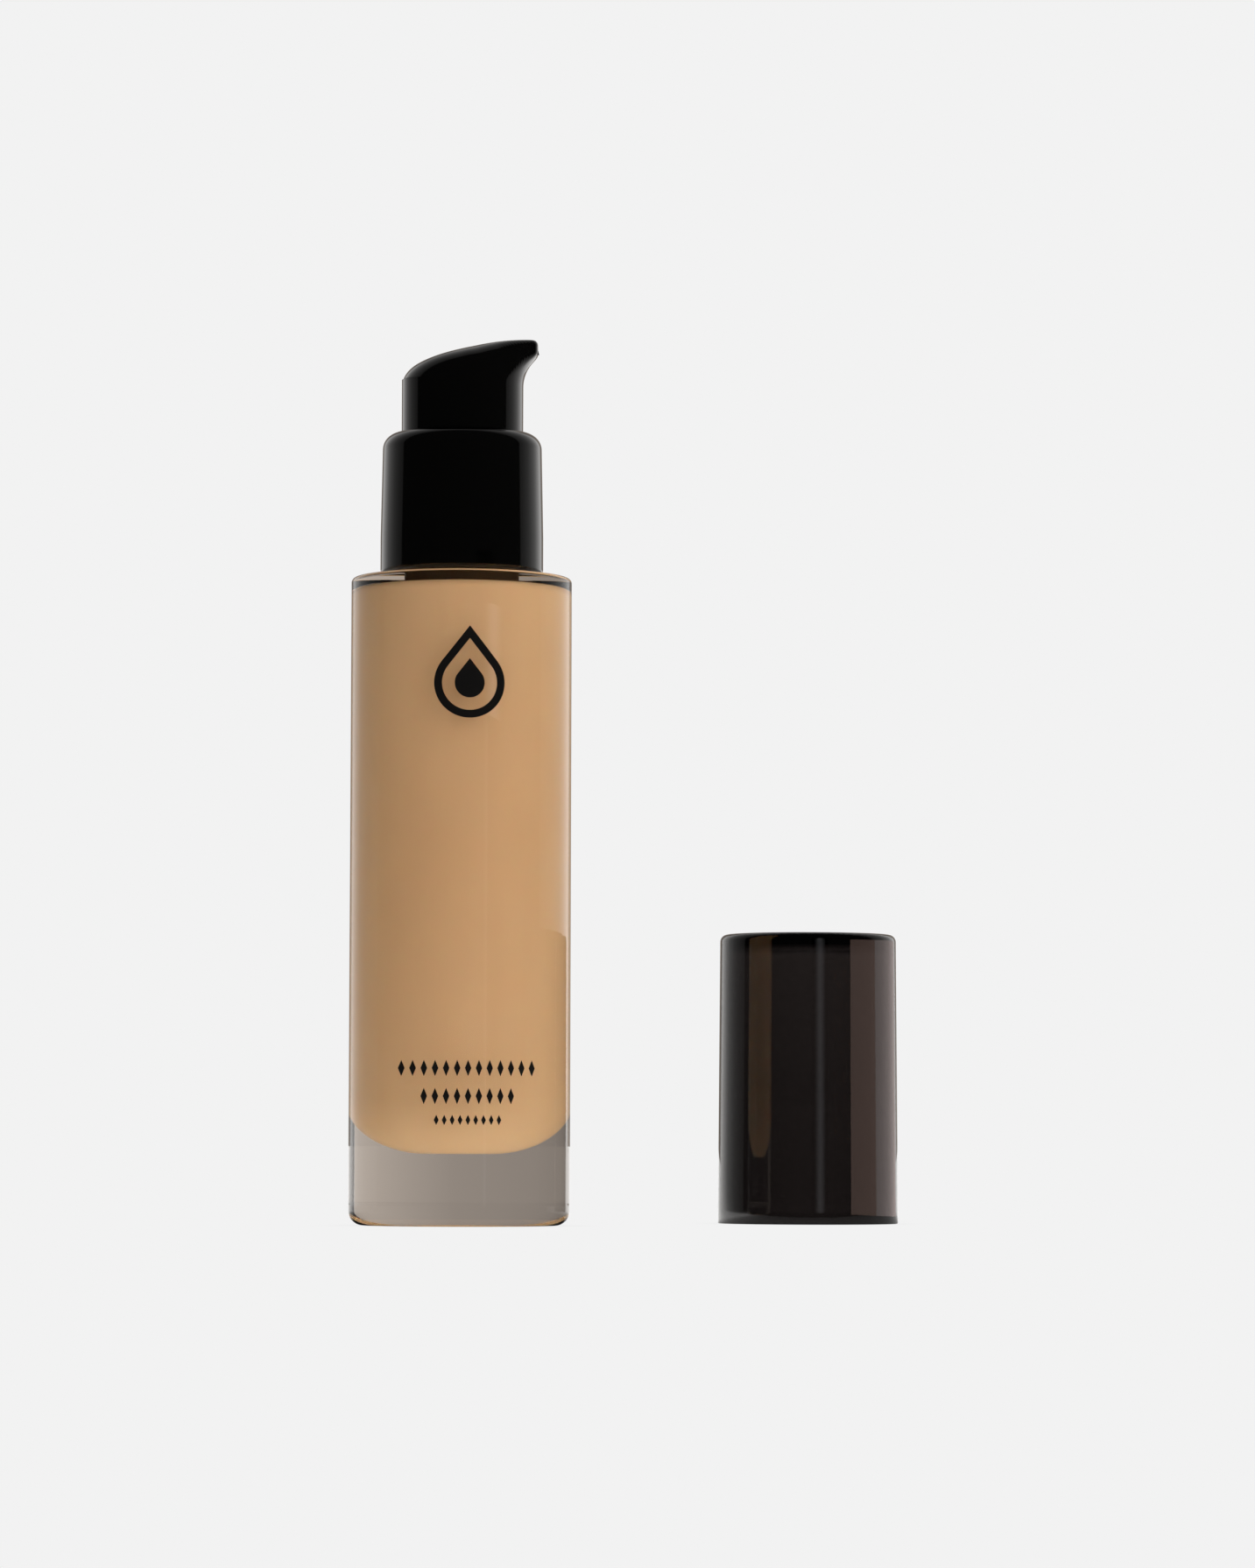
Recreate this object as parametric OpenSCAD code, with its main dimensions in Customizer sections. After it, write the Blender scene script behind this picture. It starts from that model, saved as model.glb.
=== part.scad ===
// Foundation bottle: heavy glass bottle, screw-on treatment pump with a beaked actuator, and an overcap
// that stands beside the bottle. Origin at the centre of the bottle's base, +Z up, the beak towards +X.

/* [Bottle] */
// Outer diameter of the glass
bottle_d = 33; // [32.5:0.1:34]
// Height of the shoulder plane above the table
shoulder_z = 97; // [94:0.5:104]
// Diameter of the space that holds the liquid
cavity_d = 22.2; // [21:0.2:23]
// Thickness of the clear base under the liquid
base_t = 10.65; // [9:0.05:11]
// Thickness of the glass between the liquid and the shoulder plane
shoulder_t = 1.5; // [1.4:0.1:2]
// Radius between the liquid space's wall and its floor
cavity_floor_r = 8; // [6:0.5:8.5]
// Air left between the liquid and the top of its space
headspace = 0.6; // [0.5:0.1:4]
// Radius of the glass edge at the table
base_edge_r = 2.2; // [1:0.1:3]
// Radius of the glass edge at the shoulder
shoulder_edge_r = 1.6; // [1:0.1:2]
// Height of the shallow dome under the base
push_up_h = 0.9; // [0.5:0.1:1.5]

/* [Neck] */
// Diameter of the neck between its threads
neck_d = 17.9; // [17.8:0.05:17.95]
// Height of the neck above the shoulder plane
neck_h = 9.4; // [9.2:0.1:9.4]
// Diameter of the neck's bore
neck_bore_d = 11.2; // [10.6:0.1:11.6]
// Axial distance between turns of the screw thread
thread_pitch = 3.175; // [3:0.025:3.2]

/* [Pump] */
// Travel of the actuator from rest to fully pressed
stroke = 4.6; // [3.5:0.1:4.6]
// Outer diameter of the pump housing below its flange
housing_d = 9.6; // [9.4:0.1:9.8]
// Outer diameter of the stem
stem_d = 5.2; // [5:0.05:5.2]
// Outer diameter of the dip tube
dip_tube_d = 3.2; // [3:0.1:3.4]

/* [Collar and actuator] */
// Diameter of the collar where the overcap grips it
collar_d = 24.4; // [24.3:0.05:24.5]
// Height of the collar from the shoulder plane to its top
collar_h = 21.5; // [21.4:0.1:21.8]
// Radius of the collar's top edge
collar_edge_r = 2.4; // [2:0.1:2.4]
// Diameter of the actuator
actuator_d = 18.24; // [18:0.02:18.3]
// Height of the actuator's highest edge above the collar's top
actuator_rise = 14.1; // [13.9:0.1:14.6]
// Reach of the beak from the pump's axis
beak_reach = 11.3; // [11:0.1:11.6]

/* [Overcap] */
// Outer diameter of the overcap at its rim
cap_d = 27.74; // [27.5:0.02:28.2]
// Height of the overcap
cap_h = 44.5; // [44:0.1:46]
// Diameter of the overcap's bore
cap_bore_d = 24.6; // [24.6:0.05:24.8]
// Thickness of the overcap's top
cap_top_t = 1.8; // [1.6:0.1:3.5]
// Distance of the standing overcap from the bottle's axis, to the right
cap_x = 52.9; // [40:0.1:70]
// Distance of the standing overcap behind the bottle's axis
cap_y = 30; // [20:1:40]

/* [Print] */
// Width of the emblem's drop
emblem_w = 10.4; // [8:0.1:11]
// Height of the emblem's centre above the table
emblem_z = 79.8; // [70:0.1:84]
// Height of the first row of lozenges above the table
rows_z = 23.2; // [20:0.1:26]
// Turn of the print about the bottle, away from the front
print_turn = 6; // [-30:1:30]

/* [Hidden] */
$fn = 96;

// How far a cutting shape runs past the face it cuts
past = 1;
// Radial play of the stem in its guide and in the actuator
stem_play = 0.05;

// Bottle, derived
bottle_r = bottle_d / 2;
cavity_r = cavity_d / 2;
cavity_top = shoulder_z - shoulder_t;
cavity_shoulder_r = 1.2;
neck_r = neck_d / 2;
neck_top = shoulder_z + neck_h;
neck_bore_r = neck_bore_d / 2;
neck_lip_r = 0.5;
neck_root_r = 0.9;
push_up_r = 9.8;
fill_z = cavity_top - headspace;
// Room left in the liquid around the pump, so that the pump can be drawn out of it
liquid_play = 0.2;

// Screw threads, derived: the closure's thread runs half a pitch below the neck's
thread_h = 0.95;
thread_root_w = 1.9;
thread_crest_w = 0.8;
thread_embed = 0.3;
thread_turns = 1.15;
thread_steps = 40;
thread_z = shoulder_z + 4;

// Pump heights, from the neck's top upwards and downwards
gasket_t = 0.9;
flange_t = 1.2;
flange_r = 8.9;
flange_z = neck_top + gasket_t;
flange_top = flange_z + flange_t;
housing_r = housing_d / 2;
cylinder_r = 4;
cylinder_floor = flange_top - 23.9;
ball_r = 1.5;
valve_seat_r = 1;
valve_pocket_r = 1.9;
valve_cone_h = 1.2;
// Height of a ball's centre above the small end of its seat, a hair clear of the cone
ball_rest = 1.21;
throat_z = cylinder_floor - 3;
housing_foot = throat_z + 1.5;
tail_r = 2.6;
tail_l = 6.5;
socket_l = 7;
tube_top = throat_z - 1.5;
tail_z = tube_top - socket_l;
cage_skirt_h = 0.6;
cage_t = 1;
cage_top = cylinder_floor + cage_skirt_h + cage_t;
dip_tube_r = dip_tube_d / 2;
dip_bore_r = 1;
dip_gap = 1.6;

// Piston group at rest
stem_r = stem_d / 2;
stem_foot = flange_top - 5.9;
stem_top = flange_top + 15.3;
stem_bore_r = 1;
rod_head_r = 2.9;
rod_head_z = flange_top - 11.9;
rod_shank_r = 0.98;
seal_z = rod_head_z + 1.9;
seal_h = stem_foot - seal_z;
seal_play = 0.04;
wire_r = 0.27;
spring_r = 3.2;
spring_turns = 7;
spring_steps = 18;
spring_sides = 6;

// Closure and collar
closure_r = 11;
closure_wall = 0.95;
closure_z = shoulder_z + 0.7;
closure_top_t = 1.1;
closure_top = flange_top + closure_top_t;
collar_z = shoulder_z + 0.25;
collar_top = shoulder_z + collar_h;
collar_r = collar_d / 2;
collar_top_r = collar_r - 0.27;
collar_grip_h = 5.5;
collar_mouth_r = actuator_d / 2 + 0.28;
cap_guide_r = 6.6;

// Actuator at rest
head_r = actuator_d / 2;
head_z = closure_top + stroke + 0.4;
head_top = collar_top + actuator_rise;
head_bore_r = 7.7;
head_ceiling = stem_top + 2.8;
crown_r = 60;
crown_x = beak_reach + 3;
crown_z = head_top - sqrt(pow(crown_r, 2) - pow(crown_x - beak_reach, 2));
crown_half_w = head_r + 0.1;
crown_edge_r = 5;
crown_back_r = 2.6;
// How far the back's rounding stands above the circle that would only touch the crown
crown_back_lift = 0.06;
crown_back_x = crown_back_r - crown_half_w;
crown_back_z = crown_z + crown_back_lift
    + sqrt(pow(crown_r - crown_back_r, 2) - pow(crown_x - crown_back_x, 2));
crown_back_edge = crown_x - crown_r * (crown_x - crown_back_x) / (crown_r - crown_back_r);
nose_r = 1.2;
nose_x = beak_reach - nose_r;
nose_y = 1.56;
nose_lean = 45;
beak_scoop_r = 5.9;
beak_scoop_x = head_r + beak_scoop_r + 0.08;
beak_scoop_z = head_top - 7;
beak_tip_z = head_top - 1.35;
channel_tilt = 15;
channel_r = 0.6;
insert_r = 0.75;
insert_l = 3.2;
core_boss_r = 4.2;
core_disc_t = 3.2;

// Overcap
cap_r = cap_d / 2;
cap_top_r = cap_r - 0.31;
cap_edge_r = 1.1;
cap_bore_r = cap_bore_d / 2;

// Print
ink_t = 0.05;
emblem_line = 1.15;

// A ring or, with no inner radius, a disc
module tube(r_out, r_in, z0, z1) {
    difference() {
        translate([0, 0, z0]) cylinder(r = r_out, h = z1 - z0);
        if (r_in > 0) translate([0, 0, z0 - past]) cylinder(r = r_in, h = z1 - z0 + 2 * past);
    }
}

// Profile corner that a fillet of radius r takes off; sx and sy point out of the corner
module corner(x, y, r, sx, sy) {
    translate([x, y]) difference() {
        translate([sx > 0 ? -r : -past, sy > 0 ? -r : -past]) square(r + past);
        translate([-sx * r, -sy * r]) circle(r = r);
    }
}

// Profile of the space inside the glass, from its floor up through the neck
module cavity_profile(top) {
    difference() {
        translate([0, base_t]) square([cavity_r, cavity_top - base_t]);
        corner(cavity_r, base_t, cavity_floor_r, 1, -1);
        corner(cavity_r, cavity_top, cavity_shoulder_r, 1, 1);
    }
    neck_foot = cavity_top - cavity_shoulder_r;
    translate([0, neck_foot]) square([neck_bore_r, top - neck_foot]);
}

// A helical ridge on a wall of radius r; side is 1 on the outside of a neck and -1 on the inside of a closure
module thread(r, z, side) {
    lead = 6;
    stub = 0.2;
    ring = [for (i = [0 : thread_steps])
        let (k = min(1, (min(i, thread_steps - i) + stub) / lead), a = 360 * thread_turns * i / thread_steps,
             zc = z + thread_pitch * thread_turns * i / thread_steps)
        each [for (p = [[-side * thread_embed, -thread_root_w / 2],
                        [-side * thread_embed, thread_root_w / 2],
                        [side * thread_h * k, thread_crest_w / 2],
                        [side * thread_h * k, -thread_crest_w / 2]])
            [(r + p[0]) * cos(a), (r + p[0]) * sin(a), zc + p[1]]]];
    sides = [for (i = [0 : thread_steps - 1], j = [0 : 3])
        let (a = 4 * i + j, b = 4 * i + (j + 1) % 4)
        each [[a, a + 4, b], [b, a + 4, b + 4]]];
    last = 4 * thread_steps;
    faces = concat([[0, 1, 2], [0, 2, 3]], sides, [[last + 2, last + 1, last], [last + 3, last + 2, last]]);
    polyhedron(ring, side > 0 ? faces : [for (f = faces) [f[2], f[1], f[0]]]);
}

// Points along an arc of radius r about [x, y], from angle a0 to a1
function arc_points(x, y, r, a0, a1, steps) = [for (i = [0 : steps])
    let (a = a0 + (a1 - a0) * i / steps) [x + r * cos(a), y + r * sin(a)]];

// Outline of a falling drop: its round part has radius r, and straight sides run tangent to its tip
module drop(r) {
    tip = r * 1.62;
    lean = asin(r / tip);
    polygon(concat(arc_points(0, 0, r, 180 - lean, 360 + lean, 48), [[0, tip]]));
}

// A flat pattern printed on the front of the glass
module print_on_glass() {
    intersection() {
        rotate([90, 0, print_turn]) linear_extrude(height = bottle_d) children();
        tube(bottle_r + ink_t, bottle_r, base_t, shoulder_z - shoulder_edge_r);
    }
}

// A centred row of upright lozenges
module lozenge_row(count, pitch, w, h) {
    for (i = [0 : count - 1])
        translate([(i - (count - 1) / 2) * pitch, 0])
            polygon([[-w / 2, 0], [0, -h / 2], [w / 2, 0], [0, h / 2]]);
}

// The conical seat and pocket of a ball valve whose small end is at z
module valve_seat(z) {
    translate([0, 0, z]) cylinder(r1 = valve_seat_r, r2 = valve_pocket_r, h = valve_cone_h);
}

module glass_bottle() {
    color([0.85, 0.87, 0.86, 0.4]) union() {
        difference() {
            rotate_extrude() difference() {
                union() {
                    square([bottle_r, shoulder_z]);
                    square([neck_r, neck_top]);
                    translate([neck_r, shoulder_z]) difference() {
                        translate([-past, -past]) square(neck_root_r + past);
                        translate([neck_root_r, neck_root_r]) circle(r = neck_root_r);
                    }
                }
                corner(bottle_r, 0, base_edge_r, 1, -1);
                corner(bottle_r, shoulder_z, shoulder_edge_r, 1, 1);
                corner(neck_r, neck_top, neck_lip_r, 1, 1);
                cavity_profile(neck_top + past);
            }
            push_up_ball_r = (push_up_r * push_up_r + push_up_h * push_up_h) / (2 * push_up_h);
            translate([0, 0, push_up_h - push_up_ball_r]) sphere(r = push_up_ball_r);
        }
        thread(neck_r, thread_z, 1);
    }
}

module foundation_liquid() {
    color([0.76, 0.60, 0.43]) difference() {
        rotate_extrude() intersection() {
            cavity_profile(cavity_top);
            square([cavity_r, fill_z]);
        }
        tube(dip_tube_r + liquid_play, 0, base_t + dip_gap - liquid_play, tail_z);
        tube(tail_r + liquid_play, 0, tail_z - liquid_play, throat_z);
        translate([0, 0, tail_z + tail_l - liquid_play])
            cylinder(r1 = tail_r + liquid_play, r2 = housing_r + liquid_play,
                     h = housing_foot - tail_z - tail_l);
        tube(housing_r + liquid_play, 0, housing_foot - liquid_play, fill_z + past);
    }
}

module printed_emblem() {
    color([0.05, 0.04, 0.04]) print_on_glass() translate([0, emblem_z]) {
        difference() {
            drop(emblem_w / 2);
            drop(emblem_w / 2 - emblem_line);
        }
        drop(emblem_w / 2 - 2.6 * emblem_line);
    }
}

module printed_lines() {
    color([0.05, 0.04, 0.04]) print_on_glass() {
        translate([0, rows_z]) lozenge_row(13, 1.6, 0.95, 2.4);
        translate([0, rows_z - 4.1]) lozenge_row(9, 1.6, 0.95, 2.4);
        translate([0, rows_z - 7.6]) lozenge_row(9, 1.15, 0.7, 1.5);
    }
}

module bottle_gasket() {
    color([0.93, 0.93, 0.90]) tube(flange_r, neck_bore_r + 0.1, neck_top, flange_z);
}

module pump_housing() {
    vent_r = 0.4;
    vent_z = flange_z - 1.6;
    color([0.93, 0.94, 0.93]) difference() {
        union() {
            tube(flange_r, 0, flange_z, flange_top);
            tube(housing_r, 0, housing_foot, flange_top);
            translate([0, 0, tail_z + tail_l])
                cylinder(r1 = tail_r, r2 = housing_r, h = housing_foot - tail_z - tail_l);
            tube(tail_r, 0, tail_z, tail_z + tail_l);
        }
        tube(cylinder_r, 0, cylinder_floor, flange_top + past);
        tube(valve_pocket_r, 0, throat_z + valve_cone_h, cylinder_floor + past);
        valve_seat(throat_z);
        tube(valve_seat_r, 0, tail_z - past, throat_z + past);
        tube(dip_tube_r, 0, tail_z - past, tube_top);
        translate([0, 0, vent_z]) rotate([0, 90, 0]) cylinder(r = vent_r, h = housing_d);
    }
}

module housing_cap() {
    guide_foot = flange_top - 5;
    guide_top = closure_top + 0.6;
    color([0.95, 0.95, 0.94]) difference() {
        union() {
            tube(cap_guide_r, 0, flange_top, guide_top);
            tube(cylinder_r, 0, guide_foot, flange_top + past);
        }
        tube(stem_r + stem_play, 0, guide_foot - past, guide_top + past);
    }
}

module dip_tube() {
    foot = base_t + dip_gap;
    foot_slant = 35;
    block = 10;
    color([0.92, 0.93, 0.92]) difference() {
        tube(dip_tube_r, dip_bore_r, foot, tube_top);
        translate([0, 0, foot]) rotate([0, foot_slant, 0])
            translate([-block / 2, -block / 2, -block]) cube(block);
    }
}

module valve_cage() {
    slot_r = 0.5;
    color([0.90, 0.91, 0.90]) difference() {
        tube(cylinder_r - 0.05, valve_seat_r, cylinder_floor, cage_top);
        tube(valve_pocket_r + 0.6, 0, cylinder_floor - past, cylinder_floor + cage_skirt_h);
        for (a = [0 : 120 : 240]) rotate(a) translate([valve_pocket_r, 0, cylinder_floor])
            cylinder(r = slot_r, h = cage_top);
    }
}

module inlet_ball() {
    color([0.75, 0.76, 0.78]) translate([0, 0, throat_z + ball_rest]) sphere(r = ball_r);
}

module outlet_ball() {
    color([0.75, 0.76, 0.78]) translate([0, 0, stem_top - 1.4 + ball_rest]) sphere(r = ball_r);
}

// Compression spring: a round wire swept along a helix between the valve cage and the piston rod's head
module return_spring() {
    n = spring_turns * spring_steps;
    rise = rod_head_z - cage_top - 2 * wire_r;
    points = [for (i = [0 : n], j = [0 : spring_sides - 1])
        let (a = 360 * i / spring_steps, b = 360 * j / spring_sides, r = spring_r + wire_r * cos(b))
        [r * cos(a), r * sin(a), cage_top + wire_r + rise * i / n + wire_r * sin(b)]];
    sides = [for (i = [0 : n - 1], j = [0 : spring_sides - 1])
        let (a = spring_sides * i + j, b = spring_sides * i + (j + 1) % spring_sides)
        each [[a, a + spring_sides, b], [b, a + spring_sides, b + spring_sides]]];
    ends = [[for (j = [0 : spring_sides - 1]) j],
            [for (j = [spring_sides - 1 : -1 : 0]) n * spring_sides + j]];
    faces = [for (f = concat(ends, sides)) [for (k = [len(f) - 1 : -1 : 0]) f[k]]];
    color([0.72, 0.73, 0.75]) polyhedron(points, faces);
}

module piston_rod() {
    shank_top = stem_foot + 6;
    flat_w = 1.4;
    color([0.88, 0.89, 0.90]) union() {
        tube(rod_head_r, 0, rod_head_z, rod_head_z + 0.9);
        translate([0, 0, rod_head_z + 0.9]) cylinder(r1 = rod_head_r, r2 = 1.8, h = 0.9);
        intersection() {
            tube(rod_shank_r, 0, rod_head_z, shank_top);
            translate([-flat_w / 2, -2, rod_head_z]) cube([flat_w, 4, shank_top - rod_head_z]);
        }
    }
}

module piston_seal() {
    seal_r = cylinder_r - seal_play;
    lip = 0.7;
    color([0.86, 0.88, 0.90]) translate([0, 0, seal_z]) rotate_extrude() polygon([
        [1.3, 0.9], [2.6, 0.9], [seal_r - lip, 0], [seal_r, 0], [seal_r - 0.25, seal_h / 2],
        [seal_r, seal_h], [seal_r - lip, seal_h], [2.6, seal_h - 0.9], [2.6, seal_h], [1.3, seal_h]
    ]);
}

module stem() {
    seat_z = stem_top - 1.4;
    color([0.94, 0.94, 0.93]) difference() {
        tube(stem_r, stem_bore_r, stem_foot, stem_top);
        valve_seat(seat_z);
        tube(valve_pocket_r, 0, seat_z + valve_cone_h, stem_top + past);
    }
}

module threaded_closure() {
    ribs = 24;
    rib_r = 0.25;
    inner_r = closure_r - closure_wall;
    color([0.06, 0.06, 0.06]) union() {
        difference() {
            tube(closure_r - rib_r, 0, closure_z, closure_top);
            tube(inner_r, 0, closure_z - past, flange_top);
            tube(cap_guide_r + 0.2, 0, flange_top - past, closure_top + past);
        }
        for (i = [0 : ribs - 1]) rotate(i * 360 / ribs) translate([closure_r - rib_r, 0, closure_z])
            cylinder(r = rib_r, h = closure_top - closure_z);
        thread(inner_r, thread_z - thread_pitch / 2, -1);
    }
}

module collar_shroud() {
    arc_x = collar_top_r - collar_edge_r;
    arc_z = collar_top - collar_edge_r;
    seat_r = closure_r - 0.5;
    ledge_t = 0.3;
    color([0.03, 0.03, 0.03]) rotate_extrude() difference() {
        union() {
            polygon([[collar_mouth_r, collar_z], [collar_r, collar_z], [collar_r, collar_z + collar_grip_h],
                     [collar_top_r, arc_z], [collar_mouth_r, arc_z]]);
            translate([arc_x, arc_z]) intersection() {
                circle(r = collar_edge_r);
                square(collar_edge_r);
            }
            translate([collar_mouth_r, arc_z - past]) square([arc_x - collar_mouth_r, collar_edge_r + past]);
        }
        translate([0, collar_z - past]) square([closure_r, closure_top - collar_z + past]);
        translate([0, closure_top - past]) square([seat_r, arc_z - closure_top + past - ledge_t]);
    }
}

// Plan outline of the beak: a flat nose with round corners, and two sides that run into the head
module beak_outline() {
    root_turn = 50;
    root_r = 0.97 * head_r;
    root = [root_r * cos(root_turn), root_r * sin(root_turn)];
    back = 0.6 * head_r;
    polygon(concat(
        arc_points(nose_x, -nose_y, nose_r, -nose_lean, 0, 6),
        arc_points(nose_x, nose_y, nose_r, 0, nose_lean, 6),
        [root, [0, back], [0, -back], [root.x, -root.y]]));
}

// Everything under the head's crown: an arch about an axis along Y, with round sides and a rounder back
module under_crown() {
    difference() {
        translate([crown_x, 0, crown_z]) rotate([90, 0, 0]) rotate_extrude() difference() {
            translate([0, -crown_half_w]) square([crown_r, 2 * crown_half_w]);
            corner(crown_r, crown_half_w, crown_edge_r, 1, 1);
            corner(crown_r, -crown_half_w, crown_edge_r, 1, -1);
        }
        difference() {
            translate([-crown_half_w - past, -crown_half_w - past, crown_back_z])
                cube([crown_half_w + past + crown_back_edge, 2 * (crown_half_w + past), crown_back_r + past]);
            translate([crown_back_x, crown_half_w + 2 * past, crown_back_z]) rotate([90, 0, 0])
                cylinder(r = crown_back_r, h = 2 * (crown_half_w + 2 * past));
        }
    }
}

// Places its children on the beak's sloping channel, with +Z pointing out of the tip
module along_channel() {
    translate([beak_reach, 0, beak_tip_z]) rotate([0, 90 - channel_tilt, 0]) children();
}

module actuator_head() {
    channel_l = beak_reach / cos(channel_tilt);
    color([0.02, 0.02, 0.02]) difference() {
        intersection() {
            union() {
                tube(head_r, 0, head_z, head_top + past);
                translate([0, 0, beak_scoop_z]) linear_extrude(height = head_top - beak_scoop_z + past)
                    beak_outline();
            }
            under_crown();
        }
        translate([0, 0, beak_scoop_z])
            rotate_extrude() translate([beak_scoop_x, 0]) circle(r = beak_scoop_r);
        tube(head_bore_r, 0, head_z - past, head_ceiling);
        tube(channel_r, 0, head_ceiling - past, beak_tip_z - beak_reach * tan(channel_tilt));
        along_channel() translate([0, 0, -channel_l]) cylinder(r = channel_r, h = channel_l + past);
        along_channel() translate([0, 0, -insert_l]) cylinder(r = insert_r, h = insert_l + past);
    }
}

module actuator_core() {
    boss_z = stem_top - 7.4;
    stem_gap = 0.1;
    color([0.10, 0.10, 0.10]) difference() {
        union() {
            tube(head_bore_r, 0, head_ceiling - core_disc_t, head_ceiling);
            tube(core_boss_r, 0, boss_z, head_ceiling - past);
        }
        tube(stem_r + stem_play, 0, boss_z - past, stem_top + stem_gap);
        tube(valve_pocket_r, 0, stem_top, head_ceiling + past);
    }
}

module nozzle_insert() {
    orifice_r = 0.4;
    color([0.05, 0.05, 0.05]) along_channel() translate([0, 0, -insert_l]) difference() {
        cylinder(r = insert_r, h = insert_l);
        translate([0, 0, -past]) cylinder(r = orifice_r, h = insert_l + 2 * past);
    }
}

module overcap() {
    rim_edge = 0.3;
    ceiling_r = 1;
    color([0.16, 0.12, 0.11, 0.85]) translate([cap_x, cap_y, 0]) rotate_extrude() difference() {
        union() {
            polygon([[0, 0], [cap_r, 0], [cap_top_r, cap_h - cap_edge_r], [0, cap_h - cap_edge_r]]);
            translate([0, cap_h - cap_edge_r - past]) square([cap_top_r - cap_edge_r, cap_edge_r + past]);
            translate([cap_top_r - cap_edge_r, cap_h - cap_edge_r]) intersection() {
                circle(r = cap_edge_r);
                square(cap_edge_r);
            }
        }
        difference() {
            translate([0, -past]) square([cap_bore_r, cap_h - cap_top_t + past]);
            corner(cap_bore_r, cap_h - cap_top_t, ceiling_r, 1, 1);
        }
        polygon([[cap_bore_r - past, -past], [cap_bore_r + rim_edge + past, -past], [cap_bore_r, rim_edge],
                 [cap_bore_r - past, rim_edge]]);
    }
}

glass_bottle();
foundation_liquid();
printed_emblem();
printed_lines();
bottle_gasket();
pump_housing();
housing_cap();
dip_tube();
valve_cage();
inlet_ball();
return_spring();
piston_rod();
piston_seal();
stem();
outlet_ball();
threaded_closure();
collar_shroud();
actuator_head();
actuator_core();
nozzle_insert();
overcap();
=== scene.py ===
"""Looks of the foundation bottle: heavy glass, liquid foundation, a black press pump and its overcap.

Everything is in metres in the CAD frame: the origin is the centre of the bottle's base, +Z is up and
the beak points along +X.
"""

import math

import bmesh
import bpy
from mathutils import Euler, Matrix, Vector


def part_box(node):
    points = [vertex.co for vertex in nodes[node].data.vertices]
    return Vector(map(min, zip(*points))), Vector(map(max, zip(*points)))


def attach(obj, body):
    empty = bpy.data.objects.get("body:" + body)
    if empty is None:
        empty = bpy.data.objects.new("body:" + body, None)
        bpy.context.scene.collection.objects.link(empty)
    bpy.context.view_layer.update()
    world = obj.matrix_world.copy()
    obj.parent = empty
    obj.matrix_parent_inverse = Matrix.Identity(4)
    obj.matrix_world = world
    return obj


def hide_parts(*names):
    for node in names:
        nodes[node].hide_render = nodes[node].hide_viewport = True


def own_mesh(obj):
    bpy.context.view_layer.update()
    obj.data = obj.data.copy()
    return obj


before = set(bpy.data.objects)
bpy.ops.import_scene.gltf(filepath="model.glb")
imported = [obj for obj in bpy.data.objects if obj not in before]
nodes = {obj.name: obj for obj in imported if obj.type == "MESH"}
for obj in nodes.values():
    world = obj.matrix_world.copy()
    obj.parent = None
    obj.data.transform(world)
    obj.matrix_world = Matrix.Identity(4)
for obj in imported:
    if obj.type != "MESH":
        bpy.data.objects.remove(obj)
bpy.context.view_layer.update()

MM = 0.001


# ---------------------------------------------------------------- sizes read from the frame, in metres

def radius_of(node):
    """Half the node's size across, from front to back."""
    low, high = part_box(node)
    return (high.y - low.y) / 2


GLASS_R = radius_of("glass_bottle")
NECK_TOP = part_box("glass_bottle")[1].z
LIQUID_LOW, LIQUID_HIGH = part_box("foundation_liquid")
CAVITY_R = radius_of("foundation_liquid")
CAVITY_FLOOR = LIQUID_LOW.z
SHOULDER = 97 * MM
CAVITY_TOP = SHOULDER - 1.5 * MM
NECK_R = 8.95 * MM
BORE_R, BORE_BEVEL = 5.6 * MM, 0.5 * MM
CAVITY_FLOOR_R, CAVITY_TOP_R = 8 * MM, 1.2 * MM
CAVITY_CORNER = (CAVITY_R - CAVITY_TOP_R, CAVITY_TOP - CAVITY_TOP_R)
COLLAR_LOW, COLLAR_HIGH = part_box("collar_shroud")
COLLAR_R = radius_of("collar_shroud")
HEAD_LOW, HEAD_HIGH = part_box("actuator_head")
HEAD_R = radius_of("actuator_head")
CAP_LOW, CAP_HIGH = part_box("overcap")
CAP_R = radius_of("overcap")
CAP_AXIS = Vector(((CAP_LOW.x + CAP_HIGH.x) / 2, (CAP_LOW.y + CAP_HIGH.y) / 2, 0))

# Points in each ring of a turned piece
ROUND = 256


# ---------------------------------------------------------------- mesh helpers

def arc(x, z, r, start, end, steps=12):
    """Points of an arc about (x, z), angles in degrees."""
    turn = [math.radians(start + (end - start) * i / steps) for i in range(steps + 1)]
    return [(x + r * math.cos(t), z + r * math.sin(t)) for t in turn]


def around(r, t, z):
    """The point at radius r, angle t and height z."""
    return (r * math.cos(t), r * math.sin(t), z)


def line(a, b, steps):
    """Points from a to b, both ends included."""
    run, rise = b[0] - a[0], b[1] - a[1]
    return [(a[0] + run * i / steps, a[1] + rise * i / steps) for i in range(steps + 1)]


def finish_mesh(name, bm, body, material, replaced, sharp, at=(0, 0, 0)):
    """Turns a bmesh into a smooth-shaded piece that rides on a body and replaces some CAD nodes.

    Edges that turn by more than sharp, in degrees, stay sharp.
    """
    bmesh.ops.remove_doubles(bm, verts=bm.verts, dist=1e-7)
    bmesh.ops.recalc_face_normals(bm, faces=bm.faces)
    mesh = bpy.data.meshes.new(name)
    bm.to_mesh(mesh)
    bm.free()
    mesh.shade_smooth()
    mesh.set_sharp_from_angle(angle=math.radians(sharp))
    mesh.materials.append(material)
    piece = bpy.data.objects.new(name, mesh)
    piece.location = at
    bpy.context.scene.collection.objects.link(piece)
    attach(piece, body)
    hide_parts(*replaced)
    return piece


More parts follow.
